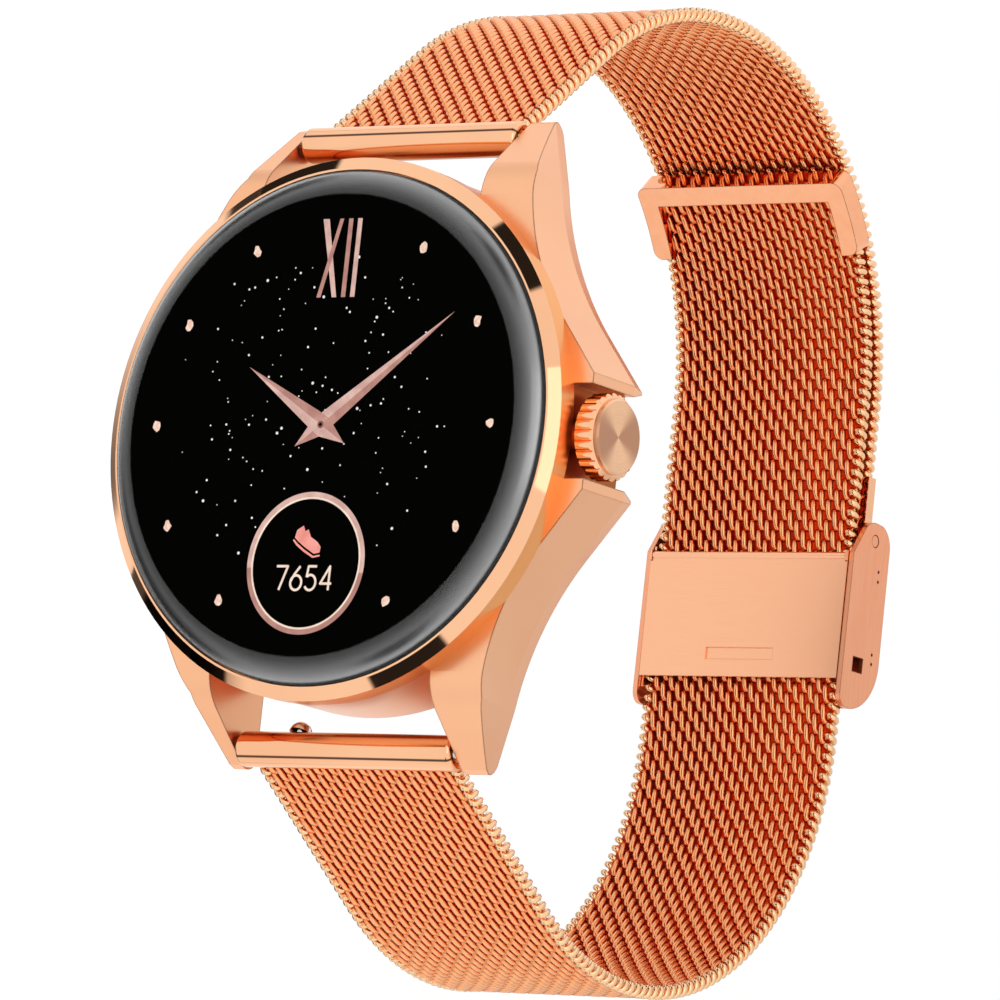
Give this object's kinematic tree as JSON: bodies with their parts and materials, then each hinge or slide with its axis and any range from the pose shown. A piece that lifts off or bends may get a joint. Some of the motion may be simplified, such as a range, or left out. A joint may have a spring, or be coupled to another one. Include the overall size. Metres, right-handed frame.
{
  "type": "smartwatch",
  "caption": "Round smartwatch with crown guards, a push and turn crown and a woven mesh strap closed by a fold-over clasp.",
  "frame": {"origin": "centre of the flat outer face of the sensor window on the back of the case", "axes": "+Z out of the dial, +Y to 12 o'clock, +X to the crown"},
  "size_m": [0.0463, 0.0817, 0.0685],
  "materials": {
    "rose_gold_brushed": "rose gold plated stainless steel, fine brushing",
    "rose_gold_polished": "rose gold plated stainless steel, mirror polished",
    "rose_gold_mesh": "rose gold plated woven steel wire",
    "cover_glass": "clear cover glass, polished",
    "display": "black display",
    "steel": "plain stainless steel",
    "seal_rubber": "black seal",
    "circuit_board": "green solder mask",
    "chip": "black moulded packages",
    "flex": "amber polyimide ribbon",
    "battery_foil": "laminated foil pouch",
    "inner_plastic": "moulded black plastic",
    "case_back": "black moulded case back",
    "sensor_glass": "dark polished sensor window",
    "contact_gold": "gold plated contacts"
  },
  "bodies": {
    "case": {"mid_case": "rose_gold_brushed", "bezel_ring": "rose_gold_polished", "cover_glass": "cover_glass", "glass_gasket": "seal_rubber", "display_panel": "display", "display_flex": "flex", "main_board": "circuit_board", "board_chips": "chip", "battery": "battery_foil", "inner_bracket": "inner_plastic", "bracket_screws": "steel", "vibration_motor": "steel", "sensor_board": "circuit_board", "sensor_leds": "chip", "sensor_window": "sensor_glass", "case_back": "case_back", "case_back_gasket": "seal_rubber", "case_back_screws": "steel", "charging_pads": "contact_gold", "crown_tube": "steel", "crown_switch": "chip"},
    "crown_wheel": {"crown_encoder_wheel": "inner_plastic"},
    "crown": {"crown_knob": "rose_gold_polished", "crown_cap": "rose_gold_polished", "crown_stem": "steel", "crown_o_ring": "seal_rubber", "crown_retaining_clip": "steel", "crown_spring": "steel"},
    "upper_strap": {"upper_end_tube": "rose_gold_polished", "upper_spring_bar": "steel", "upper_bar_spring": "steel", "upper_mesh_band": "rose_gold_mesh", "upper_end_plate": "rose_gold_brushed", "clasp_hinge_pin": "steel"},
    "upper_release": {"upper_release_lever": "steel"},
    "lower_strap": {"lower_end_tube": "rose_gold_polished", "lower_spring_bar": "steel", "lower_bar_spring": "steel", "lower_mesh_band": "rose_gold_mesh", "tail_cap": "rose_gold_brushed", "clasp_base": "rose_gold_brushed", "clasp_lock_pin": "steel"},
    "lower_release": {"lower_release_lever": "steel"},
    "cover": {"clasp_cover": "rose_gold_brushed"},
    "lock_plate": {"clasp_lock_plate": "rose_gold_polished"}
  },
  "joints": [
    {"name": "crown_turn", "type": "hinge", "parent": "case", "child": "crown_wheel", "pos_m": [0.0157, 0, 0.0058], "axis": [1, 0, 0], "continuous": true},
    {"name": "crown_press", "type": "slide", "parent": "crown_wheel", "child": "crown", "axis": [-1, 0, 0], "range_m": [0, 0.00035], "stiffness_N_per_m": 3000, "springref_m": -0.0004},
    {"name": "upper_strap_pivot", "type": "hinge", "parent": "case", "child": "upper_strap", "pos_m": [0, 0.0247, 0.00334], "axis": [1, 0, 0], "range_deg": [0, 80]},
    {"name": "lower_strap_pivot", "type": "hinge", "parent": "case", "child": "lower_strap", "pos_m": [0, -0.0247, 0.00334], "axis": [1, 0, 0], "range_deg": [-20, 0]},
    {"name": "upper_quick_release", "type": "slide", "parent": "upper_strap", "child": "upper_release", "axis": [1, 0, 0], "range_m": [0, 0.0013], "stiffness_N_per_m": 300, "springref_m": -0.002},
    {"name": "lower_quick_release", "type": "slide", "parent": "lower_strap", "child": "lower_release", "axis": [1, 0, 0], "range_m": [0, 0.0013], "stiffness_N_per_m": 300, "springref_m": -0.002},
    {"name": "clasp_cover_hinge", "type": "hinge", "parent": "upper_strap", "child": "cover", "pos_m": [0, 0.0026, -0.054], "axis": [1, 0, 0], "range_deg": [0, 100]},
    {"name": "lock_plate_hinge", "type": "hinge", "parent": "lower_strap", "child": "lock_plate", "pos_m": [0, 0.0008, -0.0509], "axis": [-1, 0, 0], "range_deg": [0, 95]}
  ],
  "couplings": [
    {"joint": "lower_strap_pivot", "follows": "upper_strap_pivot", "ratio": -0.25}
  ]
}
